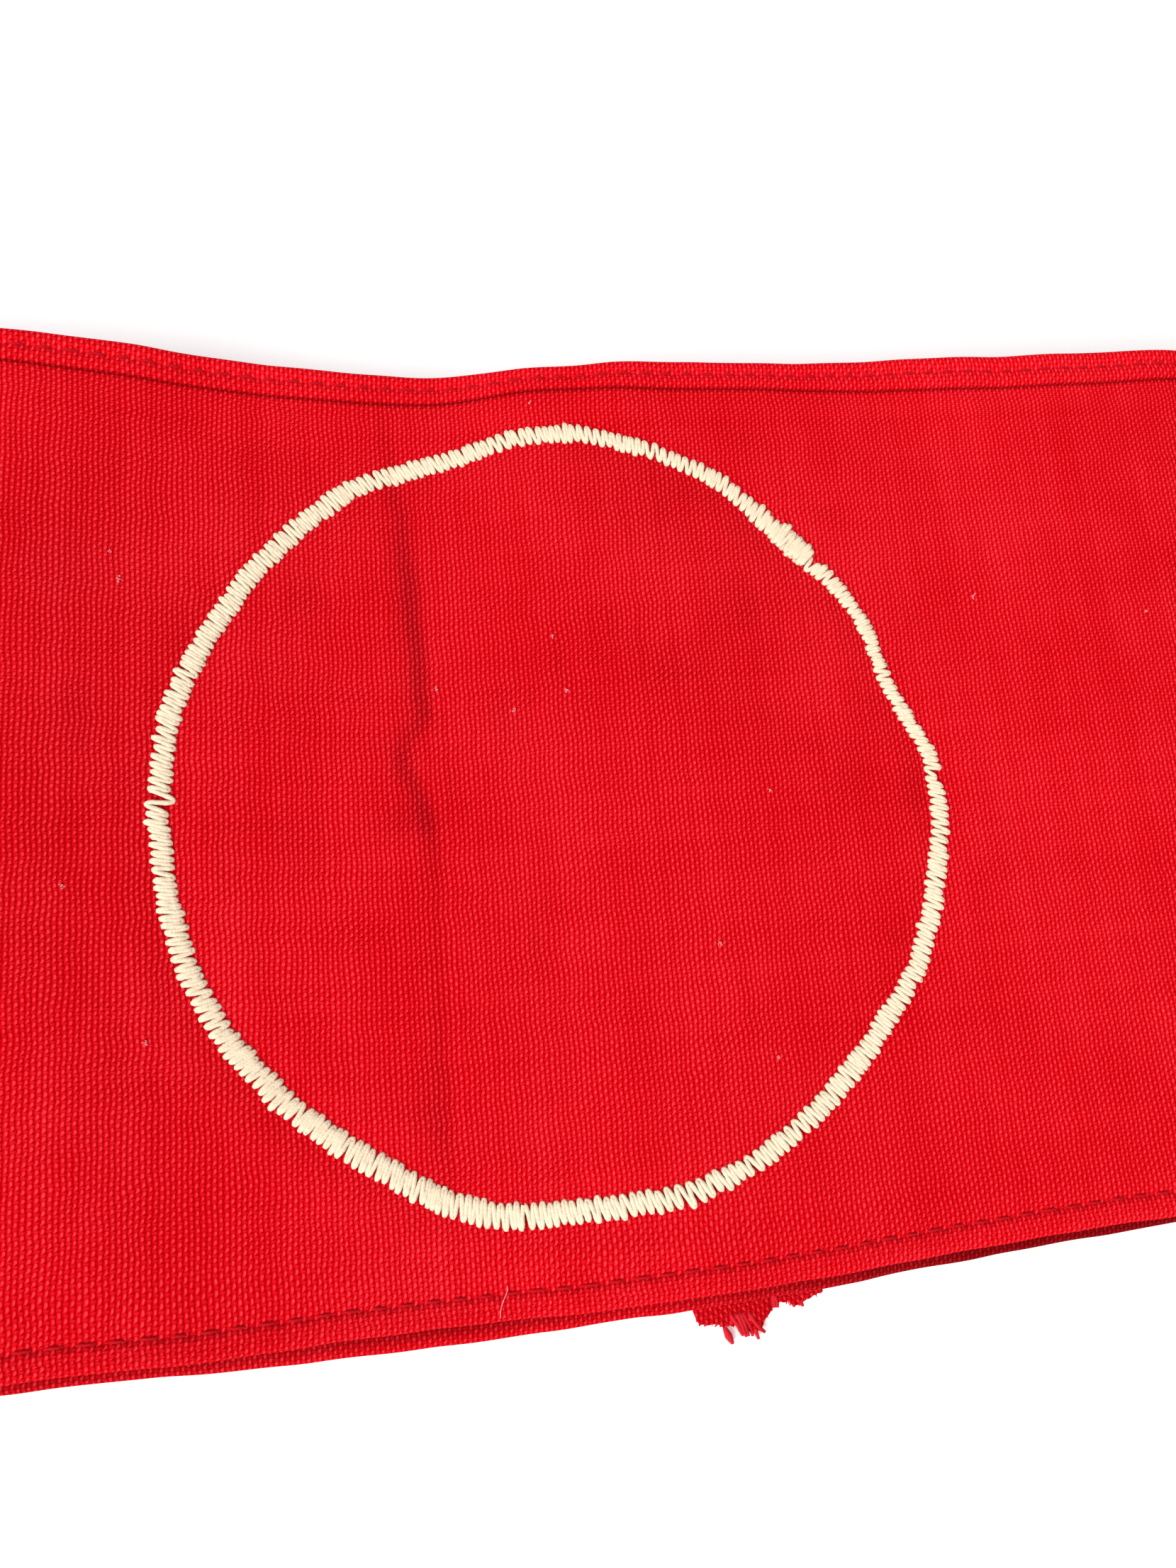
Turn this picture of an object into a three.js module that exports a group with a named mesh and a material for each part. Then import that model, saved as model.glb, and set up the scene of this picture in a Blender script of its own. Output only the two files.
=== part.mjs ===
import * as THREE from "three";

// The loop lies flattened: X along its length, Y across the cloth's width, Z up from the surface.
const foldRightX = 92;
const foldRightReach = 15;
const foldLeftX = -90;
const foldLeftReach = 17;
const clothWidth = 108;
const clothWall = 1.0;
const lowerCentreY = -0.5;
const layerShift = 4.5;

const hemStep = 0.7;
const topHemWidth = 3.4;
const bottomHemWidth = 6.5;
const topStitchInset = 1.8;
const bottomStitchInset = 2.8;
const stitchGroove = 0.2;

// Where a surface counts as raised above the lower layer, and the distances across the cloth over
// which the lower layer rests on its hem, the upper bottom edge spreads and the top hem widens.
const raisedHeights = [2.5, 8];
const hemLiftZone = [30, 48];
const spreadZone = [46, 50.5];
const topHemZone = [44, 50.2];
const topEdgeZone = [50.9, 53.6];

const ringX = -8.4;
const ringY = 2.8;
const ringHeight = 0.6;
const seatGap = 0.3;

const seamX = 11.0;
const allowanceThickness = 1.0;
const allowanceTopY = 49.6;
const humpHalf = 10.0;
const humpRamp = 6;

// Height of the upper layer's middle surface, how far each layer wanders sideways there, how much
// further the upper layer's bottom edge reaches, and how much wider its top hem is.
const knots = [
  { x: -90, z: 15.2, wander: 1.0, lowerWander: 1.2, spread: 0.6, topHem: 0.6 },
  { x: -76, z: 14.8, wander: 1.0, lowerWander: 0.8, spread: 0.6, topHem: 0.6 },
  { x: -62, z: 13.2, wander: 0.8, lowerWander: 0.4, spread: 0.6, topHem: 0.75 },
  { x: -48, z: 10.9, wander: 0.2, lowerWander: 0.0, spread: 0.8, topHem: 0.8 },
  { x: -34, z: 9.1, wander: -0.6, lowerWander: -0.3, spread: 0.4, topHem: 0.65 },
  { x: -20, z: 8.4, wander: -0.9, lowerWander: -0.5, spread: 0.5, topHem: 0.42 },
  { x: -6, z: 10.2, wander: -0.25, lowerWander: -0.2, spread: 0.9, topHem: -0.05 },
  { x: 8, z: 11.0, wander: -0.1, lowerWander: 0.05, spread: 1.1, topHem: 0.4 },
  { x: 22, z: 11.1, wander: 0.0, lowerWander: 0.7, spread: 0.5, topHem: 0.45 },
  { x: 36, z: 11.3, wander: 0.2, lowerWander: 1.1, spread: 0.0, topHem: 1.0 },
  { x: 50, z: 12.1, wander: 0.6, lowerWander: 1.8, spread: -0.35, topHem: 1.3 },
  { x: 64, z: 12.9, wander: 0.9, lowerWander: 2.2, spread: -0.4, topHem: 1.2 },
  { x: 78, z: 13.5, wander: 1.0, lowerWander: 2.3, spread: -0.4, topHem: 1.0 },
  { x: 92, z: 13.8, wander: 1.1, lowerWander: 2.2, spread: -0.4, topHem: 1.0 },
];

// The stitched ring's middle radius and its width, going round from +X.
const ringTable = [
  { deg: 0, radius: 44.3, width: 2.4 },
  { deg: 15, radius: 42.4, width: 2.2 },
  { deg: 30, radius: 42.9, width: 2.2 },
  { deg: 45, radius: 42.9, width: 3.0 },
  { deg: 60, radius: 44.3, width: 2.4 },
  { deg: 75, radius: 45.3, width: 2.4 },
  { deg: 90, radius: 45.5, width: 2.6 },
  { deg: 105, radius: 44.3, width: 2.5 },
  { deg: 120, radius: 45.1, width: 2.6 },
  { deg: 135, radius: 44.1, width: 2.6 },
  { deg: 150, radius: 43.6, width: 2.5 },
  { deg: 165, radius: 43.8, width: 2.6 },
  { deg: 180, radius: 43.5, width: 2.4 },
  { deg: 195, radius: 43.8, width: 2.5 },
  { deg: 210, radius: 44.2, width: 2.6 },
  { deg: 225, radius: 43.8, width: 2.7 },
  { deg: 240, radius: 43.9, width: 2.8 },
  { deg: 255, radius: 44.8, width: 2.8 },
  { deg: 270, radius: 44.2, width: 2.6 },
  { deg: 285, radius: 44.6, width: 2.5 },
  { deg: 300, radius: 44.4, width: 2.5 },
  { deg: 315, radius: 43.9, width: 2.6 },
  { deg: 330, radius: 44.5, width: 2.5 },
  { deg: 345, radius: 44.6, width: 2.5 },
];

// Frayed ends of the seam allowances, past the lower layer's bottom edge.
const frayLeft = [
  { x: 2.5, past: 0.7 },
  { x: 3.0, past: 1.9 },
  { x: 5.4, past: 2.3 },
  { x: 5.9, past: 4.3 },
  { x: 6.4, past: 2.4 },
  { x: 7.7, past: 2.6 },
  { x: 8.7, past: 4.5 },
  { x: 10.0, past: 4.6 },
  { x: 10.6, past: 2.4 },
  { x: 11.5, past: 1.5 },
];
const frayRight = [
  { x: 12.4, past: 0.8 },
  { x: 13.3, past: 0.8 },
  { x: 14.4, past: 1.4 },
  { x: 15.6, past: 0.9 },
  { x: 17.8, past: 0.3 },
];

const clamp01 = (t) => Math.min(1, Math.max(0, t));
const smooth = (a, b, v) => {
  const t = clamp01((v - a) / (b - a));
  return t * t * (3 - 2 * t);
};

function spline(p0, p1, p2, p3, t) {
  const a = 2 * p1 + (p2 - p0) * t;
  const b = (2 * p0 - 5 * p1 + 4 * p2 - p3) * t * t;
  return 0.5 * (a + b + (3 * p1 - p0 - 3 * p2 + p3) * t * t * t);
}

function upper(x, key) {
  const step = knots[1].x - knots[0].x;
  const last = knots.length - 1;
  const f = Math.min(last, Math.max(0, (x - knots[0].x) / step));
  const i = Math.min(last - 1, Math.floor(f));
  const at = (k) => knots[k < 0 ? -k : k > last ? 2 * last - k : k][key];
  return spline(at(i - 1), at(i), at(i + 1), at(i + 2), f - i);
}

function lowerZ(x, v) {
  const away = Math.abs(x - seamX);
  const hump = 1 - smooth(humpHalf, humpHalf + humpRamp, away);
  const hemLift = hemStep * smooth(...hemLiftZone, v);
  return clothWall / 2 + hump * (allowanceThickness + seatGap) + (1 - hump) * hemLift;
}

// Stations round the loop: the lower layer, the right fold, the upper layer, the left fold.
function stations() {
  const list = [];
  const rampOut = humpHalf + humpRamp;
  for (const x of [-90, -68, -46, -24]) list.push({ side: "lower", x });
  for (let i = 0; i <= 6; i++) list.push({ side: "lower", x: seamX - rampOut + i });
  for (let i = 0; i <= 6; i++) list.push({ side: "lower", x: seamX + humpHalf + i });
  for (const x of [40, 58, 75]) list.push({ side: "lower", x });
  for (let i = 0; i < 12; i++) list.push({ side: "right", a: -Math.PI / 2 + (Math.PI * i) / 12 });
  for (let i = 0; i < 52; i++) {
    list.push({ side: "upper", x: foldRightX - ((foldRightX - foldLeftX) * i) / 52 });
  }
  for (let i = 0; i < 12; i++) list.push({ side: "left", a: Math.PI / 2 + (Math.PI * i) / 12 });
  return list;
}

function middle(s, v) {
  if (s.side === "lower") return { x: s.x, z: lowerZ(s.x, v) };
  if (s.side === "upper") return { x: s.x, z: upper(s.x, "z") };
  const right = s.side === "right";
  const cx = right ? foldRightX : foldLeftX;
  const reach = right ? foldRightReach : foldLeftReach;
  const lo = lowerZ(cx, v);
  const hi = upper(cx, "z");
  return { x: cx + reach * Math.cos(s.a), z: (lo + hi) / 2 + ((hi - lo) / 2) * Math.sin(s.a) };
}

// The strip's section: v across the cloth, n outwards from the loop's middle surface.
function section() {
  const h = clothWall / 2;
  const e = clothWidth / 2;
  const ht = e - topHemWidth;
  const hb = e - bottomHemWidth;
  const st = e - topStitchInset;
  const sb = e - bottomStitchInset;
  const out = h + hemStep;
  return [
    [-e, -0.4], [-e + 0.4, h], [-sb - 0.9, h], [-sb, h - stitchGroove], [-sb + 0.9, h],
    [-hb, h], [-31, h], [-15, h], [0, h], [15, h], [31, h], [45, h], [ht - 0.1, h],
    [ht, out - 0.1], [ht + 0.3, out], [st - 0.5, out], [st, out - stitchGroove], [st + 0.5, out],
    [e - 0.4, out], [e, out - 0.4], [e, 0.1], [e - 0.4, -h], [st + 0.5, -h],
    [st, -h + stitchGroove], [st - 0.5, -h], [ht, -h], [31, -h], [15, -h], [0, -h], [-15, -h],
    [-31, -h], [-hb + 0.1, -h], [-hb, -out + 0.1], [-hb - 0.4, -out], [-sb + 0.9, -out],
    [-sb, -out + stitchGroove], [-sb - 0.9, -out], [-e + 0.4, -out], [-e, -out + 0.4],
  ];
}

function closedGrid(rings) {
  const n = rings.length;
  const m = rings[0].length;
  const positions = rings.flat(2);
  const index = [];
  for (let i = 0; i < n; i++) {
    for (let j = 0; j < m; j++) {
      const a = i * m + j;
      const b = i * m + ((j + 1) % m);
      const c = ((i + 1) % n) * m + ((j + 1) % m);
      const d = ((i + 1) % n) * m + j;
      index.push(a, b, c, a, c, d);
    }
  }
  const geometry = new THREE.BufferGeometry();
  geometry.setAttribute("position", new THREE.Float32BufferAttribute(positions, 3));
  geometry.setIndex(index);
  geometry.computeVertexNormals();
  return geometry;
}

function place(list, i, v, outer) {
  const n = list.length;
  const p = middle(list[i], v);
  const before = middle(list[(i + n - 1) % n], v);
  const after = middle(list[(i + 1) % n], v);
  const tx = after.x - before.x;
  const tz = after.z - before.z;
  const len = Math.hypot(tx, tz);
  const raised = smooth(...raisedHeights, p.z);
  const wander = upper(p.x, "wander") * raised + upper(p.x, "lowerWander") * (1 - raised);
  const spread = upper(p.x, "spread") * raised * smooth(...spreadZone, -v);
  const widening = smooth(...topHemZone, v) * (1 - smooth(...topEdgeZone, v));
  const hem = outer ? upper(p.x, "topHem") * widening : 0;
  const y = lowerCentreY + layerShift * raised + v + wander - spread - hem;
  return { x: p.x, z: p.z, nx: tz / len, nz: -tx / len, y };
}

function band() {
  const list = stations();
  const outline = section();
  const rings = list.map((_, i) =>
    outline.map(([v, n]) => {
      const q = place(list, i, v, n > 0);
      return [q.x + q.nx * n, q.y, q.z + q.nz * n];
    }),
  );
  return closedGrid(rings);
}

function ringRow(deg) {
  const step = 360 / ringTable.length;
  const count = ringTable.length;
  const f = (((deg % 360) + 360) % 360) / step;
  const i = Math.floor(f);
  const pick = (key) => {
    const at = (k) => ringTable[(k + count) % count][key];
    return spline(at(i - 1), at(i), at(i + 1), at(i + 2), f - i);
  };
  return { radius: pick("radius"), width: pick("width") };
}

function ring() {
  const count = 120;
  const top = seatGap + ringHeight;
  const rings = [];
  for (let i = 0; i < count; i++) {
    const deg = (360 * i) / count;
    const a = THREE.MathUtils.degToRad(deg);
    const { radius, width } = ringRow(deg);
    const w = width / 2;
    const profile = [
      [-w, seatGap], [-w, seatGap + 0.3], [-w + 0.4, top], [w - 0.4, top], [w, seatGap + 0.3], [w, seatGap],
    ];
    rings.push(
      profile.map(([d, up]) => {
        const x = ringX + (radius + d) * Math.cos(a);
        const y = ringY + (radius + d) * Math.sin(a) + upper(x, "wander") / 2;
        const slope = upper(x + 0.5, "z") - upper(x - 0.5, "z");
        const len = Math.hypot(1, slope);
        const rise = clothWall / 2 + up;
        return [x - (slope / len) * rise, y, upper(x, "z") + rise / len];
      }),
    );
  }
  return closedGrid(rings);
}

function allowance(rows) {
  const bottom = lowerCentreY - clothWidth / 2;
  const shape = new THREE.Shape();
  const right = rows[rows.length - 1].x;
  shape.moveTo(rows[0].x, bottom - rows[0].past);
  for (const row of rows.slice(1)) shape.lineTo(row.x, bottom - row.past);
  shape.lineTo(right, 0);
  shape.lineTo(right, allowanceTopY);
  shape.lineTo(rows[0].x, allowanceTopY);
  shape.lineTo(rows[0].x, 0);
  shape.closePath();
  return new THREE.ExtrudeGeometry(shape, { depth: allowanceThickness, bevelEnabled: false });
}

function piece(name, geometry, color) {
  const mesh = new THREE.Mesh(geometry, new THREE.MeshStandardMaterial({ color, roughness: 0.9 }));
  mesh.name = name;
  return mesh;
}

const group = new THREE.Group();
group.name = "armband";
group.add(piece("band_cloth", band(), "#d3202c"));
group.add(piece("ring_stitching", ring(), "#f1dfc3"));
group.add(piece("seam_allowance_left", allowance(frayLeft), "#b5131f"));
group.add(piece("seam_allowance_right", allowance(frayRight), "#b5131f"));

export default group;
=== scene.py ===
import math

import bpy
import numpy as np
from mathutils import Matrix, Vector


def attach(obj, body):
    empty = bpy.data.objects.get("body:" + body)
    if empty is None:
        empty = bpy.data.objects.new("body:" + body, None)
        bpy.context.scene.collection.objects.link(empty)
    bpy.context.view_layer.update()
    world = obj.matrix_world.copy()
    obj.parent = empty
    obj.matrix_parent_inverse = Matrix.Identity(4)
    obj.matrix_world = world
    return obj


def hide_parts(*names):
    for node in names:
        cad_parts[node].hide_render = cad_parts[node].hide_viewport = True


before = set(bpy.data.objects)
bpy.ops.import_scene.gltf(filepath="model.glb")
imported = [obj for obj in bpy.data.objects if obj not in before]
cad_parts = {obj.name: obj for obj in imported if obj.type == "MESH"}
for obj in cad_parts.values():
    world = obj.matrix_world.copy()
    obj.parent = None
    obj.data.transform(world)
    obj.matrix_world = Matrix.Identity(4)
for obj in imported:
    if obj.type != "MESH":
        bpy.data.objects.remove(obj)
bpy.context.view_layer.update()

bl_info = {
    "name": "Stitched Cotton Armband",
    "version": (1, 0, 0),
    "blender": (4, 5, 0),
    "location": "View3D > Sidebar > Armband",
    "description": "Dresses a flattened woven armband: cloth, zigzag ring, hem stitches and frayed seam",
    "category": "Object",
}

MM = 0.001

# The loop's sizes in millimetres, as in the part's source.
FOLD_RIGHT, FOLD_RIGHT_REACH = 92.0, 15.0
FOLD_LEFT, FOLD_LEFT_REACH = -90.0, 17.0
KNOT_STEP = 14.0
WIDTH, WALL, HEM = 108.0, 1.0, 0.7
TOP_HEM, BOTTOM_HEM = 3.4, 6.5
TOP_STITCH, BOTTOM_STITCH = 1.8, 2.8
GROOVE = 0.2
LOWER_CENTRE, LAYER_SHIFT = -0.5, 4.5
RING_X, RING_Y = -8.4, 2.8
SEAM_X, PLY_THICKNESS, SEAT_GAP = 11.0, 1.0, 0.3
PLY_TOP = 49.6

# Sizes in mm of the stitches and plies alone, and the angles between which the ring is sewn.
RING_RADIUS, ROUND_FROM_TO = 44.0, (-100.0, 260.0)
RING_BASE, REVERSE_BASE = 0.14, 0.05
LEG_LEAN, LEG_PAIRING = 0.28, 0.05
THREAD_HALF, STITCH_LIFT = 0.29, 0.06
BOTTOM_STITCH_REACH, TOP_STITCH_REACH = 0.5, 0.40
PLY_STEP, PLY_WEAVE_SHIFT = 0.28, 300.0

# Where each change sets in and where it is complete, in mm: upwards, from the seam, or across the band.
RAISED_HEIGHTS = (2.5, 8)
HUMP_ZONE = (10, 16)
HEM_LIFT_ZONE = (30, 48)
SPREAD_ZONE = (46, 50.5)
TOP_HEM_ZONE, TOP_EDGE_ZONE = (44, 50.2), (50.9, 53.6)
EDGE_RIPPLE_ZONE, EDGE_WOBBLE_ZONE = (44, 52), (48, 53)

# Distances in mm between the mesh's columns: plain, on the upper layer, at the seam and at the fold line.
PLAIN_STEP, UPPER_STEP, SEAM_STEP, CREASE_STEP = 1.25, 0.85, 0.7, 0.42
SEAM_ZONE, CREASE_RIGHT, CREASE_LEFT = 18, -21.0, -28.5
FOLD_COLUMNS = 26

# The camera's sizes, which the count of the weave gave, and the stage's.
PHOTO_HEIGHT, FOCAL_PIXELS, SENSOR = 2212.0, 1500.0, 36.0
FLOOR_HALF = 3000
WHITE = (1.0, 1.0, 1.0, 1.0)

# How the flattened loop lies, every KNOT_STEP from the left fold to the right one:
# the upper layer's height, how far each layer drifts across, how much further the upper layer's
# bottom edge reaches, and how much wider its top hem is.
LAY = {
    "height": [15.2, 14.8, 13.2, 10.9, 9.1, 8.4, 10.2, 11.0, 11.1, 11.3, 12.1, 12.9, 13.5, 13.8],
    "upper_drift": [1.0, 1.0, 0.8, 0.2, -0.6, -0.9, -0.25, -0.1, 0.0, 0.2, 0.6, 0.9, 1.0, 1.1],
    "lower_drift": [1.2, 1.1, 0.65, 0.1, -0.25, -0.5, -0.2, 0.05, 0.6, 0.85, 1.45, 2.05, 2.25, 2.2],
    "spread": [0.6, 0.7, 0.8, 1.0, 0.5, 0.7, 1.05, 1.1, 0.5, 0.2, 0.05, -0.1, -0.1, -0.1],
    "top_hem": [0.6, 0.6, 0.75, 0.8, 0.65, 0.42, -0.05, 0.4, 0.45, 1.0, 1.3, 1.2, 1.0, 1.0],
}

# The ring's middle radius and width, every 15 degrees from +X.
RING = {
    "radius": [44.6, 42.1, 43.1, 42.8, 44.6, 45.5, 45.8, 44.5, 45.2, 44.1, 43.6, 43.8,
               43.5, 43.8, 44.1, 43.7, 43.8, 44.7, 44.1, 44.7, 44.3, 43.9, 44.5, 44.4],
    "width": [2.4, 2.2, 2.2, 3.0, 2.4, 2.4, 2.6, 2.5, 2.6, 2.6, 2.5, 2.6,
              2.4, 2.5, 2.6, 2.7, 2.8, 2.8, 2.6, 2.5, 2.5, 2.6, 2.5, 2.5],
}

# Where the ring's stitches run unevenly, in degrees: how long each step is, how much wider than the ring's
# row says, and how far they move out.
UNEVEN = {
    "from": [-2.6, -1.0, 0.8, 38.6, 40.9, 176.3, 178.3, 278.0, 297.0],
    "to": [-1.0, 0.8, 38.6, 40.9, 46.5, 177.9, 183.0, 287.0, 300.0],
    "step": [0.50, 0.62, 0.40, 0.66, 0.36, 0.86, 0.42, 0.52, 0.55],
    "width": [0.80, 0.55, 0.88, 0.78, 1.12, 1.15, 0.98, 1.05, 0.98],
    "shift": [-0.35, -0.55, 0.00, -0.35, 0.20, -0.10, 0.35, 0.00, 0.10],
}

# The second run of stitches where the ring's end overlaps its start.
OVERLAP = {"from": 40.6, "to": 47.6, "step": 0.40, "width": 1.12, "shift": 0.15, "base": 0.40}

# The old fold line across the upper layer: place across and along the band, and how deep it is.
CREASE = {
    "across": [-44.0, -38.4, -32.7, -25.4, -17.0, -9.2, -5.0, -2.0, 2.1,
               4.6, 7.5, 10.5, 18.3, 27.1, 35.3, 40.1, 47.4, 51.0],
    "along": [-23.9, -23.9, -23.9, -23.7, -23.5, -23.3, -23.3, -23.4, -24.8,
              -26.0, -25.6, -23.4, -23.8, -24.3, -24.8, -25.5, -25.9, -26.0],
    "depth": [0.0, 0.30, 0.40, 0.34, 0.16, 0.20, 0.40, 0.80, 0.75,
              0.70, 0.62, 0.85, 0.95, 0.85, 0.55, 0.40, 0.22, 0.05],
}

# Frayed ends of the seam's two plies: place along the band, and reach past the lower layer's edge.
LEFT_FRAY = {
    "x": [2.5, 3.0, 5.4, 5.9, 6.4, 7.7, 8.7, 10.0, 10.6, 11.5],
    "past": [0.7, 1.9, 2.3, 2.6, 2.4, 2.6, 3.3, 3.4, 2.4, 1.5],
}
RIGHT_FRAY = {
    "x": [12.4, 13.3, 14.4, 15.6, 17.8],
    "past": [0.8, 0.8, 1.4, 0.9, 0.3],
}


def smooth(a, b, v):
    """0 before a, 1 past b, with a soft change between them."""
    t = np.clip((v - a) / (b - a), 0.0, 1.0)
    return t * t * (3 - 2 * t)


def bell(distance, width):
    """1 at no distance, which falls softly to nothing at about twice the width."""
    return np.exp(-(distance / width) ** 2)


def curve_through(p0, p1, p2, p3, t):
    return 0.5 * (2 * p1 + (p2 - p0) * t + (2 * p0 - 5 * p1 + 4 * p2 - p3) * t * t
                  + (3 * p1 - p0 - 3 * p2 + p3) * t ** 3)


def lay(column, x):
    """A column of LAY at x, on a smooth line through its values."""
    values = np.array(LAY[column])
    last = len(values) - 1
    f = np.clip((np.asarray(x, float) - FOLD_LEFT) / KNOT_STEP, 0, last)
    i = np.minimum(last - 1, np.floor(f)).astype(int)

    def at(k):
        return values[np.where(k < 0, -k, np.where(k > last, 2 * last - k, k))]

    return curve_through(at(i - 1), at(i), at(i + 1), at(i + 2), f - i)


def ring_row(column, degrees):
    """A column of RING at an angle, on a smooth closed line through its values."""
    values = np.array(RING[column])
    count = len(values)
    f = np.mod(np.asarray(degrees, float), 360) / (360 / count)
    i = np.floor(f).astype(int)
    return curve_through(values[(i - 1) % count], values[i % count], values[(i + 1) % count],
                         values[(i + 2) % count], f - i)


def lower_height(x, v):
    """The lower layer's height: it arches over the seam's plies and rises to its top hem."""
    hump = 1 - smooth(*HUMP_ZONE, np.abs(x - SEAM_X))
    return WALL / 2 + hump * (PLY_THICKNESS + SEAT_GAP) + (1 - hump) * HEM * smooth(*HEM_LIFT_ZONE, v)


def middle(q, v):
    """x and height of the loop's middle surface. q runs from 0 to 4 over the lower layer,
    the right fold, the upper layer and the left fold."""
    q = np.mod(q, 4.0)
    span = FOLD_RIGHT - FOLD_LEFT
    low_x, high_x = FOLD_LEFT + span * q, FOLD_RIGHT - span * (q - 2)

    def fold(at, reach, turn):
        low, high = lower_height(at, v), lay("height", at)
        return at + reach * np.cos(turn), (low + high) / 2 + (high - low) / 2 * np.sin(turn)

    right_x, right_z = fold(FOLD_RIGHT, FOLD_RIGHT_REACH, -math.pi / 2 + math.pi * (q - 1))
    left_x, left_z = fold(FOLD_LEFT, FOLD_LEFT_REACH, math.pi / 2 + math.pi * (q - 3))
    side = [q < 1, q < 2, q < 3]
    x = np.select(side, [low_x, right_x, high_x], left_x)
    z = np.select(side, [lower_height(low_x, v), right_z, lay("height", high_x)], left_z)
    return x, z


def upper_q(x):
    return 2 + (FOLD_RIGHT - x) / (FOLD_RIGHT - FOLD_LEFT)


def upper_v(x, y):
    return y - LOWER_CENTRE - LAYER_SHIFT - lay("upper_drift", x)


def ring_distance(x, v):
    """How far a place on the upper layer is outside the ring's middle line."""
    y = v + LOWER_CENTRE + LAYER_SHIFT + lay("upper_drift", x) / 2
    degrees = np.degrees(np.arctan2(y - RING_Y, x - RING_X))
    return np.hypot(x - RING_X, y - RING_Y) - ring_row("radius", degrees)


def crease_at(x, v):
    """How deep the old fold line is at v, and how far x is from it."""
    line = np.interp(v, CREASE["across"], CREASE["along"]) + 0.12 * np.sin(v / 1.3)
    return np.interp(v, CREASE["across"], CREASE["depth"]), x - line


def relief(q, v):
    """Small rises and dips of the cloth in mm: the fold line, the ring's pull and gentle waves."""
    q = np.mod(q, 4.0)
    x, _ = middle(q, v)
    on_top = smooth(1.92, 2.05, q) * (1 - smooth(2.95, 3.08, q))
    depth, off = crease_at(x, v)
    fold = -0.34 * depth * bell(off, 1.1) + 0.14 * depth * bell(off - 2.8, 1.9)
    away = ring_distance(x, v)
    pull = -0.22 * bell(away, 2.4) + 0.10 * bell(np.abs(away) - 4.5, 2.2)
    waves = (0.16 * np.sin(x / 8.3 + 0.9 * np.sin(v / 17.0)) * np.sin(v / 11.0 + 1.3)
             + 0.10 * np.sin(x / 4.7 + v / 9.0 + 0.6) * np.sin(v / 6.1 - x / 21.0))
    ripple = 0.14 * smooth(*EDGE_RIPPLE_ZONE, np.abs(v)) * np.sin(x / 2.9 + 1.4 * np.sin(x / 11.0))
    return on_top * (fold + pull + waves + ripple) + (1 - on_top) * 0.12 * np.sin(x / 7.0 + v / 13.0)

def on_band(q, v, n):
    """Points in mm at q round the loop, v across it and n outwards from its middle surface."""
    q, v, n = np.broadcast_arrays(np.asarray(q, float), np.asarray(v, float), np.asarray(n, float))
    x, z = middle(q, v)
    before, after = middle(q - 0.004, v), middle(q + 0.004, v)
    tx, tz = after[0] - before[0], after[1] - before[1]
    length = np.hypot(tx, tz)
    raised = smooth(*RAISED_HEIGHTS, z)
    drift = lay("upper_drift", x) * raised + lay("lower_drift", x) * (1 - raised)
    wobble = 0.10 * np.sin(x / 5.3 + 0.7 * np.sin(x / 2.1)) * smooth(*EDGE_WOBBLE_ZONE, np.abs(v))
    v = v - lay("spread", x) * raised * smooth(*SPREAD_ZONE, -v)
    v = v - lay("top_hem", x) * (n > 0) * smooth(*TOP_HEM_ZONE, v) * (1 - smooth(*TOP_EDGE_ZONE, v))
    n = n + relief(q, v)
    return np.stack([x + tz / length * n, LOWER_CENTRE + LAYER_SHIFT * raised + v + drift + wobble,
                     z - tx / length * n], axis=-1)


def stations():
    """Places round the loop, closer together at the seam and the old fold line."""
    span = FOLD_RIGHT - FOLD_LEFT
    seam_start, seam_end = ((SEAM_X + side - FOLD_LEFT) / span for side in (-SEAM_ZONE, SEAM_ZONE))
    crease_start, crease_end = upper_q(CREASE_RIGHT), upper_q(CREASE_LEFT)
    runs = [(0, seam_start, PLAIN_STEP), (seam_start, seam_end, SEAM_STEP), (seam_end, 1, PLAIN_STEP),
            (1, 2, None), (2, crease_start, UPPER_STEP), (crease_start, crease_end, CREASE_STEP),
            (crease_end, 3, UPPER_STEP), (3, 4, None)]
    parts = []
    for start, end, step in runs:
        count = round((end - start) * span / step) if step else FOLD_COLUMNS
        parts.append(np.linspace(start, end, count, endpoint=False))
    return np.concatenate(parts)


def run_lengths(q):
    """Distance round the loop at each station, from the seam, and the whole length, in mm."""
    x, z = middle(np.append(q, q[0] + 4), 0.0)
    steps = np.hypot(np.diff(x), np.diff(z))
    reached = np.concatenate([[0.0], np.cumsum(steps)])
    return reached[:-1], reached[-1]


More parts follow.
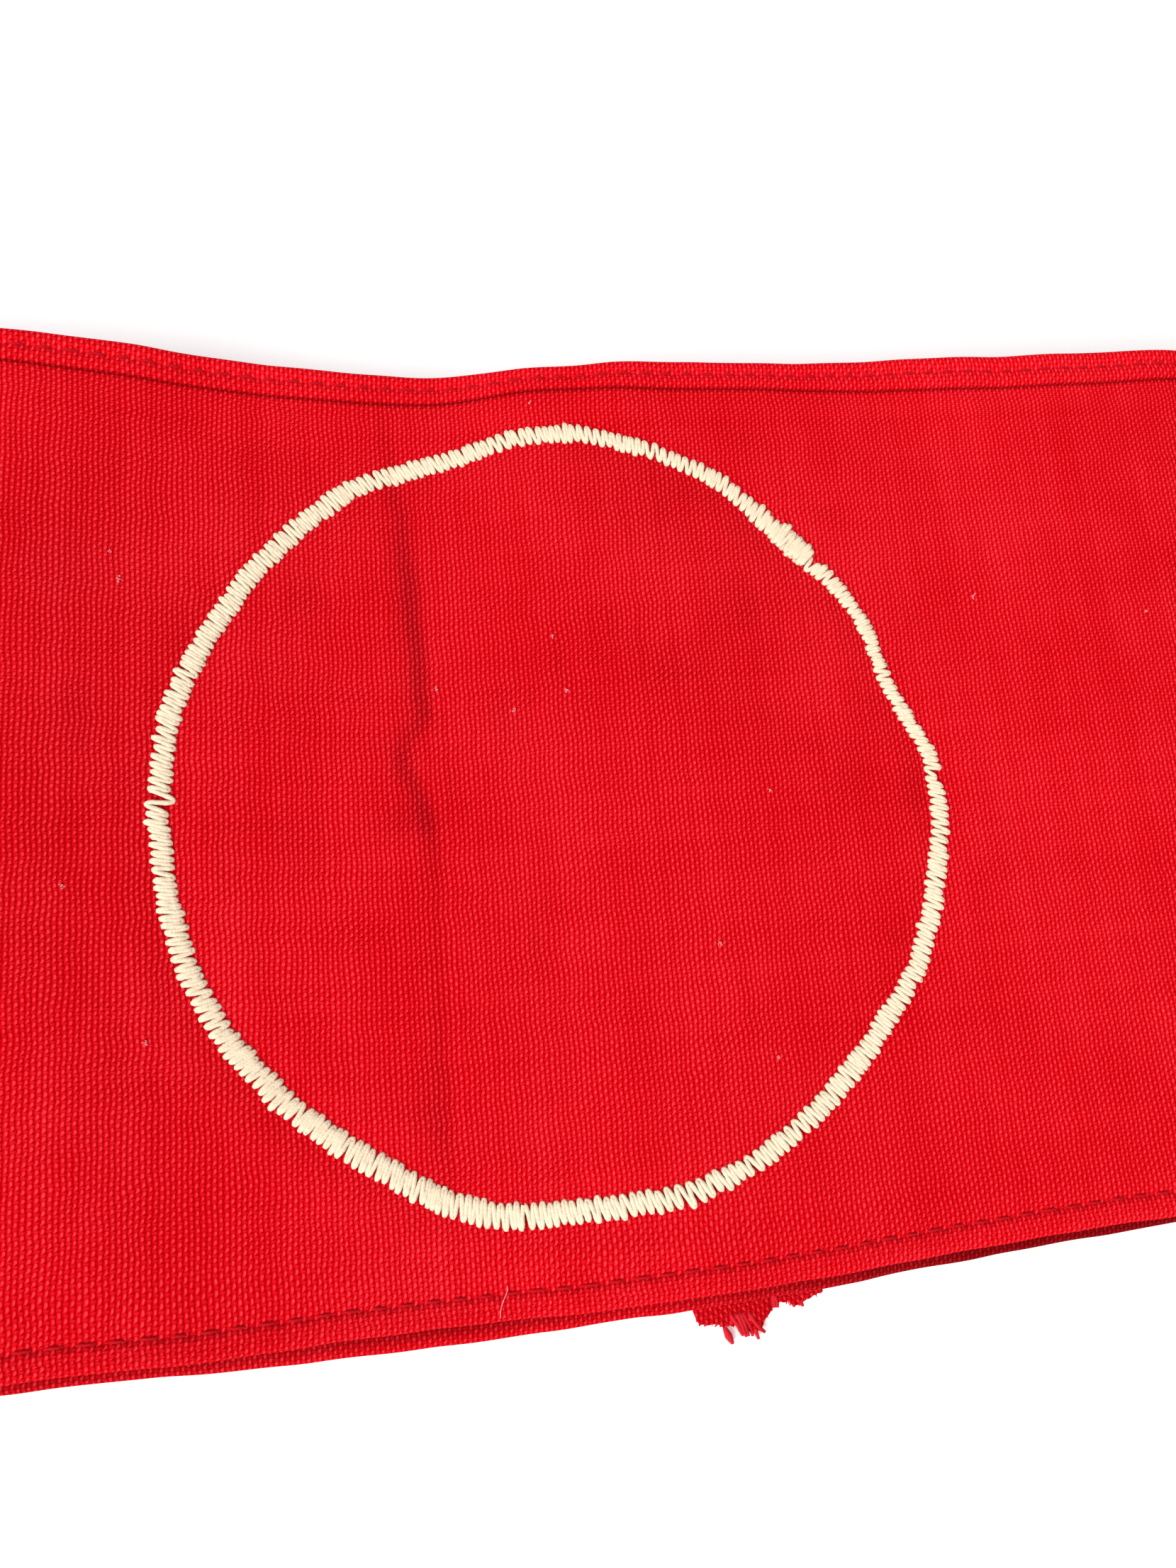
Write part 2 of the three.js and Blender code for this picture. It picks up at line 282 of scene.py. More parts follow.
def section():
    """The strip's section, v across and n outwards in mm: outer face, top fold, inner face, bottom fold.
    Each row also has the number of parts up to the next one."""
    h, e, out = WALL / 2, WIDTH / 2, WALL / 2 + HEM
    r = (out + h) / 2
    top, bottom = e - TOP_HEM, e - BOTTOM_HEM
    top_line, bottom_line = e - TOP_STITCH, e - BOTTOM_STITCH
    round_it = np.radians(np.linspace(75, -75, 7))
    points = [
        (-bottom_line - 1.4, h, 4), (-bottom_line - 0.5, h, 2), (-bottom_line, h - GROOVE, 2),
        (-bottom_line + 0.5, h, 3), (-bottom + 1.0, h, 79), (top - 1.2, h, 2), (top - 0.35, h, 2),
        (top + 0.04, h, 1), (top + 0.5, h + 0.02, 1), (top + 0.48, h + 0.10, 1), (top + 0.03, h + 0.13, 1),
        (top - 0.03, h + 0.32, 1), (top + 0.25, out - 0.08, 1), (top + 0.7, out, 1),
        (top_line - 0.5, out, 1), (top_line, out - GROOVE, 1), (top_line + 0.5, out, 1)]
    points += [(e - r + r * math.cos(a), (out - h) / 2 + r * math.sin(a), 1) for a in round_it]
    points += [
        (top_line + 0.45, -h, 1), (top_line, -h + GROOVE, 1), (top_line - 0.45, -h, 2), (top, -h, 26),
        (-bottom + 0.5, -h, 1), (-bottom - 0.05, -h + 0.03, 1), (-bottom - 0.6, -h - 0.05, 1),
        (-bottom - 0.6, -h - 0.18, 1), (-bottom, -h - 0.26, 1), (-bottom - 0.1, -out, 2),
        (-bottom_line + 0.5, -out, 1), (-bottom_line, -out + GROOVE, 1), (-bottom_line - 0.5, -out, 1)]
    points += [(-e + r - r * math.cos(a), -(out - h) / 2 - r * math.sin(a), 1) for a in round_it]
    rows = []
    for (v, n, parts), (v2, n2, _) in zip(points, points[1:] + points[:1]):
        rows += [(v + (v2 - v) * i / parts, n + (n2 - n) * i / parts) for i in range(parts)]
    return np.array(rows)


# Meshes

def new_object(name, mesh):
    thing = bpy.data.objects.new(name, mesh)
    bpy.context.scene.collection.objects.link(thing)
    return thing


def mesh_from(name, points, faces, material=None):
    """A smooth mesh object from points in mm and faces."""
    mesh = bpy.data.meshes.new(name)
    mesh.from_pydata((np.asarray(points, float) * MM).tolist(), [], [list(map(int, f)) for f in faces])
    mesh.shade_smooth()
    if material:
        mesh.materials.append(material)
    mesh.update()
    return new_object(name, mesh)


def closed_grid(rows, columns):
    """Faces of a grid that closes both ways."""
    i, j = np.meshgrid(np.arange(rows), np.arange(columns), indexing="ij")
    near, far, j2 = i * columns, (i + 1) % rows * columns, (j + 1) % columns
    return np.stack([near + j, near + j2, far + j2, far + j], axis=-1).reshape(-1, 4)


def weave_map(mesh, corners):
    """A UV map in metres of real cloth, which the weave follows."""
    layer = mesh.uv_layers.new(name="weave")
    layer.data.foreach_set("uv", (np.asarray(corners, np.float32) * MM).ravel())


def point_value(mesh, name, values, kind="FLOAT"):
    field = mesh.attributes.new(name, kind, "POINT")
    field.data.foreach_set("value" if kind == "FLOAT" else "vector", np.asarray(values, np.float32).ravel())


def bare_points(name, points, edges=(), **fields):
    """Points in mm, and the edges between them, that each keep a number or a direction."""
    mesh = bpy.data.meshes.new(name)
    mesh.from_pydata((points * MM).tolist(), edges, [])
    for key, values in fields.items():
        point_value(mesh, key, values, "FLOAT" if values.ndim == 1 else "FLOAT_VECTOR")
    return new_object(name, mesh)


def tubes(name, runs, sides, material):
    """One mesh of closed tubes. Each run is its points and its radius at each, in mm."""
    points, faces = [], []
    for line, radius in runs:
        line = np.asarray(line, float)
        ahead = np.gradient(line, axis=0)
        ahead /= np.linalg.norm(ahead, axis=1)[:, None]
        across = np.cross(ahead, [0.13, 0.21, 0.97])
        across /= np.linalg.norm(across, axis=1)[:, None]
        up = np.cross(across, ahead)
        first, count = len(points), len(line)
        for k in range(count):
            for s in range(sides):
                a = 2 * math.pi * s / sides
                points.append(line[k] + radius[k] * (math.cos(a) * across[k] + math.sin(a) * up[k]))
        for k in range(count - 1):
            for s in range(sides):
                t = (s + 1) % sides
                a, b = first + k * sides, first + (k + 1) * sides
                faces.append((a + s, b + s, b + t, a + t))
        faces.append([first + s for s in range(sides)])
        faces.append([first + (count - 1) * sides + s for s in reversed(range(sides))])
    return mesh_from(name, points, faces, material)


def settle(piece, slot, *nodes):
    """Hands a finished piece to the frame."""
    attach(piece, "root")
    if nodes:
        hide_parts(*nodes)


# Nodes

class Term:
    """A socket that adds its own maths nodes, so that a formula reads like one."""

    def __init__(self, tree, socket):
        self.tree, self.socket = tree, socket

    def math(self, operation, *others):
        node = self.tree.nodes.new("ShaderNodeMath")
        node.operation = operation
        plug(self.tree, node.inputs[0], self)
        for socket, value in zip(node.inputs[1:], others):
            plug(self.tree, socket, value)
        return Term(self.tree, node.outputs[0])

    def __add__(self, other):
        return self.math("ADD", other)

    def __sub__(self, other):
        return self.math("SUBTRACT", other)

    def __mul__(self, other):
        return self.math("MULTIPLY", other)

    def __truediv__(self, other):
        return self.math("DIVIDE", other)


def plug(tree, socket, value):
    """Joins a term or a socket to a socket, or sets its number."""
    if isinstance(value, Term):
        tree.links.new(value.socket, socket)
    elif isinstance(value, bpy.types.NodeSocket):
        tree.links.new(value, socket)
    else:
        socket.default_value = value


def node(tree, kind, inputs=(), **settings):
    made = tree.nodes.new(kind)
    for key, value in settings.items():
        setattr(made, key, value)
    for key, value in dict(inputs).items():
        plug(tree, made.inputs[key], value)
    return made


def geometry(tree, kind, inputs=(), **settings):
    """What a Geometry Nodes node gives out first."""
    return node(tree, "GeometryNode" + kind, inputs, **settings).outputs[0]


def noise(tree, place, scale, detail=2.0, roughness=0.5, output="Fac"):
    inputs = {"Vector": place, "Scale": scale, "Detail": detail, "Roughness": roughness}
    return Term(tree, node(tree, "ShaderNodeTexNoise", inputs).outputs[output])


def random_value(tree, low, high, seed, **where):
    made = node(tree, "FunctionNodeRandomValue", {"Min": low, "Max": high, "Seed": seed, **where},
                data_type="FLOAT")
    return Term(tree, next(s for s in made.outputs if s.enabled))


def place_of(tree, x, y, z=0.0):
    return node(tree, "ShaderNodeCombineXYZ", {"X": x, "Y": y, "Z": z}).outputs[0]


def vector_math(tree, operation, a, b):
    key = "Scale" if operation == "SCALE" else 1
    return node(tree, "ShaderNodeVectorMath", {0: a, key: b}, operation=operation).outputs[0]


def new_group(name, tree_type, inputs, outputs):
    """A node group. Its inputs and outputs are listed by the kind of socket."""
    tree = bpy.data.node_groups.new(name, tree_type)
    for direction, sockets in (("INPUT", inputs), ("OUTPUT", outputs)):
        for kind, labels in sockets.items():
            for label in labels:
                tree.interface.new_socket(name=label, in_out=direction, socket_type="NodeSocket" + kind)
    entry, leave = tree.nodes.new("NodeGroupInput"), tree.nodes.new("NodeGroupOutput")
    return tree, {s.name: Term(tree, s) for s in entry.outputs if s.name}, leave


def plain_weave():
    """Over-and-under threads: each warp thread is a short hooked float over every other weft thread."""
    tree, put, leave = new_group(
        "plain_weave", "ShaderNodeTree", {"Float": ["Along", "Across", "Wander", "Slub", "Hook"]},
        {"Float": ["Height", "Crest", "Tone"]})
    along, across = put["Along"], put["Across"]
    bend = noise(tree, place_of(tree, along * 0.11, across * 0.11), 1.0, 3.0, output="Color")
    parts = node(tree, "ShaderNodeSeparateColor", {"Color": bend})
    red, green, blue = (Term(tree, output) - 0.5 for output in parts.outputs)
    u, v = along + red * put["Wander"] * 4.0, across + green * put["Wander"] * 4.0
    iu, iv = u.math("FLOOR"), v.math("FLOOR")
    fu = u - iu - 0.5
    from_float = (v + iu + 0.5).math("FLOORED_MODULO", 2.0) - 1.0
    from_weft = (from_float + 0.5).math("FLOORED_MODULO", 1.0) - 0.5
    weft_over = from_float.math("ABSOLUTE").math("GREATER_THAN", 0.5) * 2.0 - 1.0
    warp_slub = (noise(tree, place_of(tree, u, v * 0.05), 1.0) - 0.5) * put["Slub"] + 0.42
    weft_slub = (noise(tree, place_of(tree, u * 0.05, v, 7.0), 1.0) - 0.5) * put["Slub"] + 0.44
    hook = (from_float * -1.0).math("MAXIMUM", 0.0).math("POWER", 1.5) * put["Hook"] * (blue * 5.0 + 1.0)

    def arch(off, width):
        return ((off / width).math("POWER", 2.0) * -1.0 + 1.0).math("MAXIMUM", 0.0)

    def thread_tone(number):
        made = node(tree, "ShaderNodeTexWhiteNoise", {"W": number}, noise_dimensions="1D")
        return Term(tree, made.outputs["Value"])

    warp_arch, weft_arch = arch(fu - hook, warp_slub), arch(from_weft, weft_slub)
    warp_rise = (from_float * (math.pi / 1.5)).math("COSINE") * 0.62 + 0.38
    weft_rise = (fu * math.pi).math("COSINE") * weft_over * 0.40 + 0.30
    warp, weft = warp_arch.math("SQRT") * warp_rise, weft_arch.math("SQRT") * weft_rise
    warp_tone, weft_tone = thread_tone(iu), thread_tone(iv + 0.37)
    plug(tree, leave.inputs["Height"], warp.math("MAXIMUM", weft))
    plug(tree, leave.inputs["Crest"], (warp_arch * warp_rise).math("MAXIMUM", weft_arch * weft_rise * 0.92))
    plug(tree, leave.inputs["Tone"], warp_tone + (weft_tone - warp_tone) * weft.math("GREATER_THAN", warp))
    return tree


def stitch_pucker():
    """The dip that a line of stitches pulls into the cloth, deepest where the thread goes through."""
    tree, put, leave = new_group(
        "stitch_pucker", "ShaderNodeTree", {"Float": ["Along", "Off Line", "Pitch", "Reach"]},
        {"Float": ["Dip"]})
    turn = (put["Along"] / put["Pitch"] * (2 * math.pi)).math("COSINE") * 0.5 + 0.5
    fall = ((put["Off Line"] / put["Reach"]).math("POWER", 2.0) * -1.0).math("EXPONENT")
    plug(tree, leave.inputs["Dip"], fall * (turn * 0.65 + 0.35))
    return tree


def use_group(tree, build, inputs):
    """A shader group's node. The group is made the first time that it is asked for."""
    made = tree.nodes.new("ShaderNodeGroup")
    made.node_tree = bpy.data.node_groups.get(build.__name__) or build()
    for key, value in inputs.items():
        plug(tree, made.inputs[key], value)
    return made


def new_material(name, roughness, specular):
    material = bpy.data.materials.new(name)
    material.use_nodes = True
    tree = material.node_tree
    shader = tree.nodes["Principled BSDF"]
    shader.inputs["Roughness"].default_value = roughness
    shader.inputs["Specular IOR Level"].default_value = specular
    return material, tree, shader


def ramp(tree, value, stops):
    made = node(tree, "ShaderNodeValToRGB", {"Fac": value})
    elements = made.color_ramp.elements
    while len(elements) < len(stops):
        elements.new(0.5)
    for element, (where, colour) in zip(elements, stops):
        element.position = where
        element.color = (*colour, 1.0)
    return made.outputs["Color"]


def kept_value(tree, name):
    """A value that a mesh keeps under this name."""
    return Term(tree, node(tree, "ShaderNodeAttribute", attribute_name=name).outputs["Fac"])


def add_bump(tree, shader, height, distance):
    bump = node(tree, "ShaderNodeBump", {"Height": height, "Distance": distance, "Strength": 1.0})
    plug(tree, shader.inputs["Normal"], bump.outputs[0])


def cotton_material(name, cloth, gain, lines=()):
    """Woven red cotton on a piece's own weave map, with painted shade between its threads and a painted
    highlight on their crests. Lines of stitches have a place and a reach in mm.
    """
    material, tree, shader = new_material(name, 0.9, 0.02)
    where = node(tree, "ShaderNodeUVMap", uv_map="weave").outputs[0]
    parts = node(tree, "ShaderNodeSeparateXYZ", {"Vector": where})
    s, w = Term(tree, parts.outputs[0]), Term(tree, parts.outputs[1])
    weave = use_group(tree, plain_weave, {
        "Along": s / cloth.warp_pitch, "Across": w / cloth.weft_pitch,
        "Wander": cloth.wander, "Slub": cloth.slub, "Hook": 0.42})
    height, crest_level, tone = (Term(tree, weave.outputs[key]) for key in ("Height", "Crest", "Tone"))
    along, across = s * (1 / MM), w * (1 / MM)
    place = place_of(tree, along, across)
    fibre, cloudy = noise(tree, place, 4.2, 3.0, 0.65), noise(tree, place, 0.055, 4.0, 0.6)
    shade = kept_value(tree, "shade")
    # The weave's colour: painted shade deep between the threads and a painted highlight on their crests,
    # with random tone from thread to thread and in soft clouds.
    level = crest_level + (tone - 0.5) * 0.11 + (fibre - 0.5) * 0.50 + (cloudy - 0.5) * 0.44
    colours = (cloth.gap_colour, cloth.body_colour, cloth.thread_colour, cloth.crest_colour)
    colour = ramp(tree, level, list(zip((0.06, 0.34, 0.64, 0.94), colours)))
    bump_height = height + (fibre - 0.5) * 0.25
    dip = None
    for off, reach in lines:
        pucker = use_group(tree, stitch_pucker, {
            "Along": along, "Off Line": across - off, "Pitch": cloth.stitch_pitch / MM, "Reach": reach})
        one = Term(tree, pucker.outputs["Dip"])
        dip = one if dip is None else dip.math("MAXIMUM", one)
    if dip is not None:
        # Painted shade in the dips that the stitches pull into the cloth.
        shade = shade * (dip * -0.07 + 1.0)
        bump_height = bump_height - dip * 2.4
    plug(tree, shader.inputs["Base Color"], vector_math(tree, "SCALE", colour, shade * gain))
    add_bump(tree, shader, bump_height, cloth.relief)
    return material


def thread_material(name, dark, light, speckle):
    """Twisted thread: painted shade where it turns under towards the cloth, with fine fibres."""
    material, tree, shader = new_material(name, 0.8, 0.15)
    spot = node(tree, "ShaderNodeTexCoord").outputs["Object"]
    fibre, strand = noise(tree, spot, 4200.0, 3.0, 0.65), noise(tree, spot, 1100.0)
    level = kept_value(tree, "upward") * 0.8 + (fibre - 0.5) * speckle + (strand - 0.5) * speckle
    between = tuple(0.3 * d + 0.7 * l for d, l in zip(dark, light))
    colour = ramp(tree, level, [(0.10, dark), (0.40, between), (0.72, light)])
    plug(tree, shader.inputs["Base Color"], colour)
    add_bump(tree, shader, fibre, 0.00010)
    return material


def named(tree, name, kind="FLOAT_VECTOR"):
    return geometry(tree, "InputNamedAttribute", {"Name": name}, data_type=kind)


def finish_threads(tree, put, leave, threads):
    """Gives threads their material, and keeps how far each place of them faces away from the cloth, from
    which the material paints shade where they turn under.
    """
    real = geometry(tree, "RealizeInstances", {"Geometry": threads})
    smoothed = geometry(tree, "SetShadeSmooth", {"Geometry": real, "Shade Smooth": True})
    out = vector_math(tree, "NORMALIZE", named(tree, "out"), (0, 0, 0))
    facing = node(tree, "ShaderNodeVectorMath", {0: geometry(tree, "InputNormal"), 1: out},
                  operation="DOT_PRODUCT").outputs["Value"]
    stored = geometry(tree, "StoreNamedAttribute", {
        "Geometry": smoothed, "Name": "upward", "Value": Term(tree, facing) * 0.5 + 0.5},
        data_type="FLOAT", domain="POINT")
    painted = geometry(tree, "SetMaterial", {"Geometry": stored, "Material": put["Material"]})
    plug(tree, leave.inputs[0], painted)


def zigzag_tree():
    """Swings a path's points from edge to edge of the ring and gives them a thread's thickness."""
    tree, put, leave = new_group(
        "zigzag_stitch", "GeometryNodeTree",
        {"Geometry": ["Path"], "Float": ["Thread Width", "Arch", "Flatness", "Edge Wander"],
         "Int": ["Sides", "Seed"], "Material": ["Material"]}, {"Geometry": ["Threads"]})
    turn = Term(tree, named(tree, "turn", "FLOAT"))
    across = ((turn * math.pi).math("COSINE") * -1.10).math("MINIMUM", 1.0).math("MAXIMUM", -1.0)
    aside = across.math("ABSOLUTE")

    def jitter(offset):
        return random_value(tree, -1.0, 1.0, put["Seed"] + offset, ID=(turn + 0.5).math("FLOOR"))

    reach = Term(tree, named(tree, "reach", "FLOAT")) + jitter(0.0) * put["Edge Wander"] * aside
    high = (aside.math("POWER", 5.0) * -1.0 + 1.0) * put["Arch"] * (jitter(11.0) * 0.30 + 1.0)
    move = vector_math(tree, "ADD", vector_math(tree, "SCALE", named(tree, "side"), across * reach),
                       vector_math(tree, "SCALE", named(tree, "out"), high))
    moved = geometry(tree, "SetPosition", {"Geometry": put["Path"], "Offset": move})
    line = geometry(tree, "MeshToCurve", {"Mesh": moved})
    radius = (aside.math("POWER", 3.0) * 0.46 + 0.80) * random_value(tree, 0.84, 1.06, put["Seed"] + 29.0)
    line = geometry(tree, "SetCurveRadius", {"Curve": line, "Radius": radius})
    line = geometry(tree, "SetCurveNormal", {"Curve": line, "Normal": named(tree, "out")}, mode="FREE")
    circle = geometry(tree, "CurvePrimitiveCircle", {
        "Resolution": put["Sides"], "Radius": put["Thread Width"] * 0.5})
    flat = place_of(tree, put["Flatness"], 1.0, 1.0)
    oval = geometry(tree, "Transform", {"Geometry": circle, "Scale": flat})
    swept = geometry(tree, "CurveToMesh", {"Curve": line, "Profile Curve": oval, "Fill Caps": True})
    woolly = noise(tree, geometry(tree, "InputPosition"), 3200.0, 1.0) - 0.5
    fuzz = vector_math(tree, "SCALE", geometry(tree, "InputNormal"), woolly * put["Thread Width"] * 0.42)
    finish_threads(tree, put, leave, geometry(tree, "SetPosition", {"Geometry": swept, "Offset": fuzz}))
    return tree


def running_stitch_tree():
    """A short bowed stitch at each point, along the seam and dipping into the cloth at both ends."""
    tree, put, leave = new_group(
        "running_stitch", "GeometryNodeTree",
        {"Geometry": ["Points"], "Float": ["Length", "Thread Width", "Rise"], "Int": ["Seed"],
         "Material": ["Material"]}, {"Geometry": ["Stitches"]})
    half, low = put["Length"] * 0.5, put["Rise"] * -0.7
    bow = geometry(tree, "CurveQuadraticBezier", {
        "Resolution": 6, "Start": place_of(tree, half * -1.0, 0.0, low),
        "Middle": place_of(tree, 0.0, 0.0, put["Rise"] * 1.3), "End": place_of(tree, half, 0.0, low)})
    circle = geometry(tree, "CurvePrimitiveCircle", {"Resolution": 6, "Radius": put["Thread Width"] * 0.5})
    stitch = geometry(tree, "CurveToMesh", {"Curve": bow, "Profile Curve": circle, "Fill Caps": True})
    turn = node(tree, "FunctionNodeAxesToRotation",
                {"Primary Axis": named(tree, "out"), "Secondary Axis": named(tree, "along")},
                primary_axis="Z", secondary_axis="X").outputs[0]
    size = place_of(tree, random_value(tree, 0.85, 1.12, put["Seed"]), 1.0, 1.0)
    points = geometry(tree, "MeshToPoints", {"Mesh": put["Points"]})
    placed = geometry(tree, "InstanceOnPoints", {
        "Points": points, "Instance": stitch, "Rotation": turn, "Scale": size})
    finish_threads(tree, put, leave, placed)
    return tree


def grow(source, tree, values):
    """Runs a Geometry Nodes tree on an object once and keeps the result as its plain mesh."""
    modifier = source.modifiers.new("build", "NODES")
    modifier.node_group = tree
    for item in tree.interface.items_tree:
        if item.item_type == "SOCKET" and item.in_out == "INPUT" and item.name in values:
            modifier[item.identifier] = values[item.name]
    ready = source.evaluated_get(bpy.context.evaluated_depsgraph_get())
    mesh = bpy.data.meshes.new_from_object(ready)
    source.modifiers.remove(modifier)
    source.data = mesh
    if not len(mesh.polygons):
        raise RuntimeError(f"{source.name} came out empty")
    return source


# The pieces

def ring_place(degrees, out_by, n):
    """Points on the ring in mm: an angle, how far outside its middle line, and how high."""
    radius = ring_row("radius", degrees) + out_by
    a = np.radians(degrees)
    x = RING_X + radius * np.cos(a)
    y = RING_Y + radius * np.sin(a) + lay("upper_drift", x) / 2
    return on_band(upper_q(x), upper_v(x, y), n)


def ring_turns(step, seed, start, end, even=True):
    """The angle, half width and outward shift at each turn of the zigzag."""
    rng = np.random.default_rng(seed)
    degrees, rows = start, []
    while degrees < end:
        step_here, wider, shift = step, 1.0, 0.0
        angles = ((degrees + 180) % 360 - 180, degrees % 360)
        for first, last, *values in zip(*UNEVEN.values()):
            if not even and any(first <= angle < last for angle in angles):
                step_here, wider, shift = values
        radians = math.radians(degrees)
        slow = math.sin(radians * 13 + 1.0) * 0.06 + math.sin(radians * 31) * 0.05
        half = (float(ring_row("width", degrees)) / 2 - THREAD_HALF) * wider
        half *= 1 + 0.06 * rng.standard_normal()
        rows.append((degrees, half, shift + slow + 0.07 * rng.standard_normal()))
        stretch = max(0.55, 1 + 0.24 * rng.standard_normal())
        degrees += math.degrees(step_here * stretch / RING_RADIUS)
    return np.array(rows)


def ring_path(name, turns, per_leg, base, face=1.0):
    """The zigzag's path before it swings: a line of points that know which way is sideways and which
    way is out."""
    legs = np.arange(len(turns) - 1)
    share = np.arange(per_leg) / per_leg
    t = (legs[:, None] + share[None, :]).ravel()
    steady = t + 0.30 * np.sin(2 * math.pi * t) / (2 * math.pi) + LEG_PAIRING * np.sin(math.pi * t)
    degrees = np.interp(steady, np.arange(len(turns)), turns[:, 0])
    slope = LEG_LEAN * np.sin(np.radians(2 * (degrees - 135)))
    degrees = degrees + np.degrees(slope / RING_RADIUS) * np.cos(math.pi * t)
    half, shift = (np.interp(t, np.arange(len(turns)), turns[:, k]) for k in (1, 2))
    n = (WALL / 2 + base) * face
    here, outer = ring_place(degrees, shift, n), ring_place(degrees, shift + 1.0, n)
    higher = ring_place(degrees, shift, n + face)
    edges = [(i, i + 1) for i in range(len(t) - 1)]
    return bare_points(name, here, edges, turn=t, reach=half * MM, side=outer - here, out=higher - here)


def stitch_points(name, lines, q, reached, total, pitch):
    """Points with a direction along each line of stitches. A line is its place across and outwards."""
    count = round(total / pitch)
    where = (np.arange(count) + 0.5) * total / count
    at = np.interp(where, np.append(reached, total), np.append(q, q[0] + 4))
    spots, outs, ahead = [], [], []
    for v, n in lines:
        spot = on_band(at, v, n)
        spots.append(spot)
        outs.append(on_band(at, v, n + math.copysign(0.5, n)) - spot)
        ahead.append(on_band(at + 0.003, v, n) - on_band(at - 0.003, v, n))
    spots, outs, ahead = (np.concatenate(rows) for rows in (spots, outs, ahead))
    return bare_points(name, spots, out=outs, along=ahead)


# Soft patches of lighter and darker colour on the upper layer: place and size in mm, and how much darker or
# lighter. They are partly the cloth's uneven tone and partly painted light and shade, such as the lighter
# right side.
TONE_AND_LIGHT_PATCHES = {
    "x": [-60, -63, -63, -59, -44, -37, -38, -34, -27, -26, -17, -15, -13, -8, -13, -6,
          -2, 6, 10, 15, 17, 28, 33, -12, -14, 42, 5, 21, -50, -57, 2, 58],
    "v": [4, 1, 26, 10, 34, 25, -4, -28, -2, -32, -11, 11, -17, 15, 9, 8,
          20, 14, -25, 21, 30, 6, -3, -9, -34, 42, 35, 19, 16, -32, -12, 15],
    "wide": [11.0, 6.6, 5.5, 2.7, 1.5, 3.3, 3.3, 11.0, 3.1, 2.2, 3.5, 2.1, 1.5, 1.1, 4.5, 2.6,
             4.2, 3.9, 1.3, 2.7, 2.6, 2.9, 1.1, 5.0, 5.0, 25.0, 9.0, 7.0, 4.0, 8.0, 11.0, 24.0],
    "high": [34.0, 27.4, 6.7, 4.7, 3.6, 3.3, 3.5, 7.3, 2.0, 4.0, 2.2, 5.1, 4.7, 4.2, 8.0, 3.2,
             3.6, 2.7, 4.6, 4.6, 3.9, 4.4, 2.8, 16.0, 20.0, 14.0, 7.0, 9.0, 10.0, 10.0, 44.0, 70.0],
    "tone": [-0.05, -0.06, -0.05, -0.05, -0.05, -0.08, -0.05, 0.02, -0.09, -0.06, -0.04, -0.06, -0.04,
             -0.09, -0.07, -0.08, -0.05, -0.05, -0.05, -0.06, -0.05, -0.04, -0.10, -0.06, -0.09, 0.04,
             -0.05, -0.03, -0.03, -0.05, -0.02, 0.08],
}


def band_shade(q, v, n):
    """How light the cloth's colour is at each point of the band: painted light and shade, and patches of
    tone.
    """
    x, _ = middle(q, v)
    on_top = smooth(1.95, 2.05, q) * (1 - smooth(2.95, 3.05, q))
    shade = np.ones_like(x)
    for at_x, at_v, wide, high, tone in zip(*TONE_AND_LIGHT_PATCHES.values()):
        shade += on_top * tone * bell(x - at_x, wide) * bell(v - at_v, high)
    outer, top_outer = n > 0, on_top * (n > 0)
    depth, off = crease_at(x, v)
    # Painted shade along the old fold line's valley, with softer, broader shade just left of it.
    shade -= top_outer * depth * (0.22 * bell(off, 1.15) + 0.12 * bell(off + 0.6, 2.4))
    # Painted shade round the ring, where its pull dips the cloth.
    shade -= top_outer * 0.05 * bell(ring_distance(x, v), 2.0)
    # Painted light on the upper layer towards its top edge, most on the top hem's strip, which faces away
    # from the lamp; along the bottom hem the colour is darker towards the left.
    painted_hem_light = 0.05 * smooth(40, 47, v) + 0.12 * smooth(50.9, 51.8, v)
    shade += top_outer * (painted_hem_light - 0.08 * smooth(49.5, 51.5, -v) * smooth(30, -50, x))
    # Painted shadow: the lower layer's inner face lies in the upper layer's shadow, but for its edge, and
    # the underside of the upper layer's bottom fold is painted in shade.
    bare, to_right = bell(x + 20, 25), smooth(0, 40, x)
    lit = (0.55 - 0.45 * to_right + 0.35 * bare) * smooth(52.4, 53.9 - 0.8 * bare, -v)
    between = smooth(45, 50, -v) * (1 - lit) * (q < 1) * (n < 0.3) * smooth(92, 78, np.abs(x))
    shade -= (0.64 + 0.10 * to_right) * between + on_top * 0.38 * smooth(53.2, 53.7, -v) * (n < -0.2)
    # Painted shadow in the slot under the top hem's free edge.
    flap_shadow = bell(v - (WIDTH / 2 - TOP_HEM), 0.24) * outer * (n < WALL / 2 + 0.36)
    return shade * (1 - 0.42 * flap_shadow)


